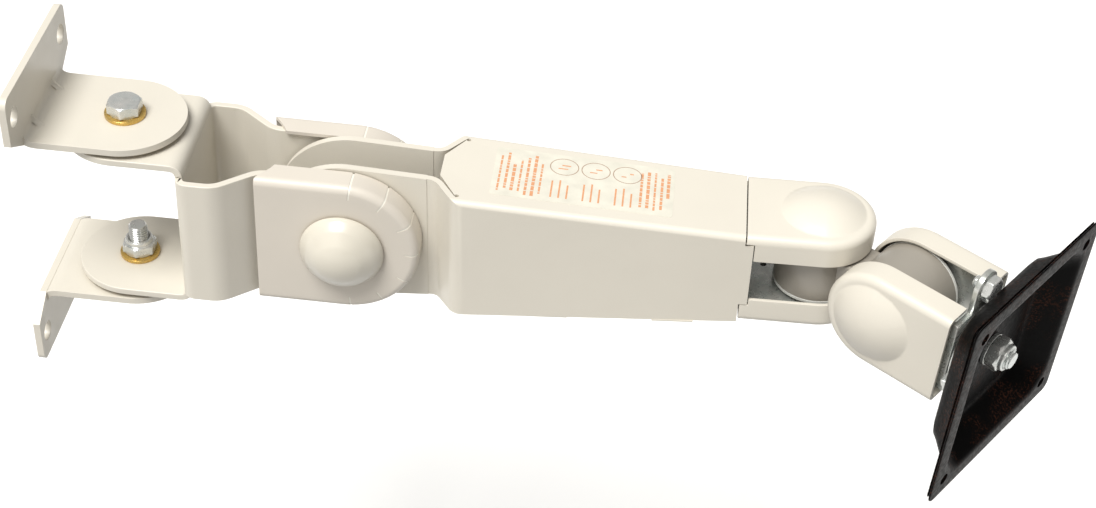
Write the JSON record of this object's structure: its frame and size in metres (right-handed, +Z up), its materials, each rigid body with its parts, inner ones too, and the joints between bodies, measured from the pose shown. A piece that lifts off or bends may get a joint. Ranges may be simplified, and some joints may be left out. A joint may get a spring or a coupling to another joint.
{
  "type": "monitor wall arm",
  "caption": "Articulated wall arm for a flat monitor: swinging yoke, pitching box arm with pull-out lock knob, elbow, tilting head and turning dished plate.",
  "frame": {"origin": "on the wall plane, midway between the four wall holes", "axes": "+X away from the wall, +Z up along the hinge bolts, -Y towards the knob"},
  "size_m": [0.4264, 0.1304, 0.1344],
  "materials": {
    "ivory_paint": "ivory powder coat, satin",
    "cover_paint": "warm light grey powder coat, satin",
    "knob_plastic": "moulded, satin gloss",
    "zinc_plate": "bright zinc plate",
    "yellow_zinc": "yellow chromate over zinc",
    "grey_paint": "grey powder coat, satin",
    "black_paint": "black gloss enamel with fine texture",
    "nylon": "white nylon",
    "dark_nylon": "dark filled nylon",
    "bronze": "sintered bronze"
  },
  "bodies": {
    "wall_mount": {"upper_wall_bracket": "ivory_paint", "lower_wall_bracket": "ivory_paint", "hinge_bolts": "zinc_plate", "hinge_washers": "yellow_zinc", "hinge_lock_nuts": "zinc_plate"},
    "swing_yoke": {"yoke": "ivory_paint", "hinge_bushes": "nylon", "front_joint_cover": "cover_paint", "rear_joint_cover": "cover_paint", "pivot_axle": "zinc_plate", "pivot_washer": "zinc_plate", "pivot_nut": "zinc_plate", "rear_dome_cap": "knob_plastic", "knob_retainer": "zinc_plate", "knob_spring": "zinc_plate"},
    "knob": {"release_knob": "knob_plastic", "index_pins": "zinc_plate"},
    "arm": {"arm_shell": "ivory_paint", "arm_bottom_cover": "ivory_paint", "pivot_bushes": "nylon", "pivot_spacer": "zinc_plate", "elbow_upper_cap": "ivory_paint", "elbow_lower_cap": "ivory_paint", "elbow_bracket": "zinc_plate", "elbow_axle": "zinc_plate", "elbow_disc_springs": "zinc_plate", "elbow_nut": "zinc_plate", "elbow_friction_washers": "dark_nylon"},
    "knuckle": {"double_knuckle": "grey_paint", "knuckle_bushes": "bronze"},
    "head": {"head_front_cap": "ivory_paint", "head_rear_cap": "ivory_paint", "head_bracket": "zinc_plate", "tilt_axle": "zinc_plate", "tilt_disc_springs": "zinc_plate", "tilt_nut": "zinc_plate", "tilt_friction_washers": "dark_nylon", "stop_screw": "zinc_plate", "swivel_bolt": "zinc_plate", "swivel_friction_washer": "dark_nylon", "swivel_washer": "zinc_plate", "swivel_lock_nut": "zinc_plate"},
    "plate": {"stop_disc": "zinc_plate", "plate_spacer": "dark_nylon", "monitor_plate": "black_paint"}
  },
  "joints": [
    {"name": "wall_swing", "type": "hinge", "parent": "wall_mount", "child": "swing_yoke", "pos_m": [0.0372, 0, 0], "axis": [0, 0, 1], "range_deg": [-85, 85]},
    {"name": "arm_pitch", "type": "hinge", "parent": "swing_yoke", "child": "arm", "pos_m": [0.1296, 0, 0], "axis": [0, -1, 0], "range_deg": [-60, 60]},
    {"name": "knob_pull", "type": "slide", "parent": "swing_yoke", "child": "knob", "axis": [0, -1, 0], "range_m": [0, 0.0036], "stiffness_N_per_m": 400, "springref_m": -0.004, "deforming": ["knob_spring"]},
    {"name": "elbow_swivel", "type": "hinge", "parent": "arm", "child": "knuckle", "pos_m": [0.32353, 0, 0.00508], "axis": [-0.0262, 0, 0.9997], "range_deg": [-47, 118]},
    {"name": "head_tilt", "type": "hinge", "parent": "knuckle", "child": "head", "pos_m": [0.35621, -0.02357, 0.00593], "axis": [0.5848, 0.8111, 0.0153], "range_deg": [-74.5, 69.5]},
    {"name": "plate_turn", "type": "hinge", "parent": "head", "child": "plate", "pos_m": [0.39912, -0.05449, 0.00475], "axis": [0.8112, -0.5844, -0.0224], "range_deg": [-90, 90]}
  ]
}
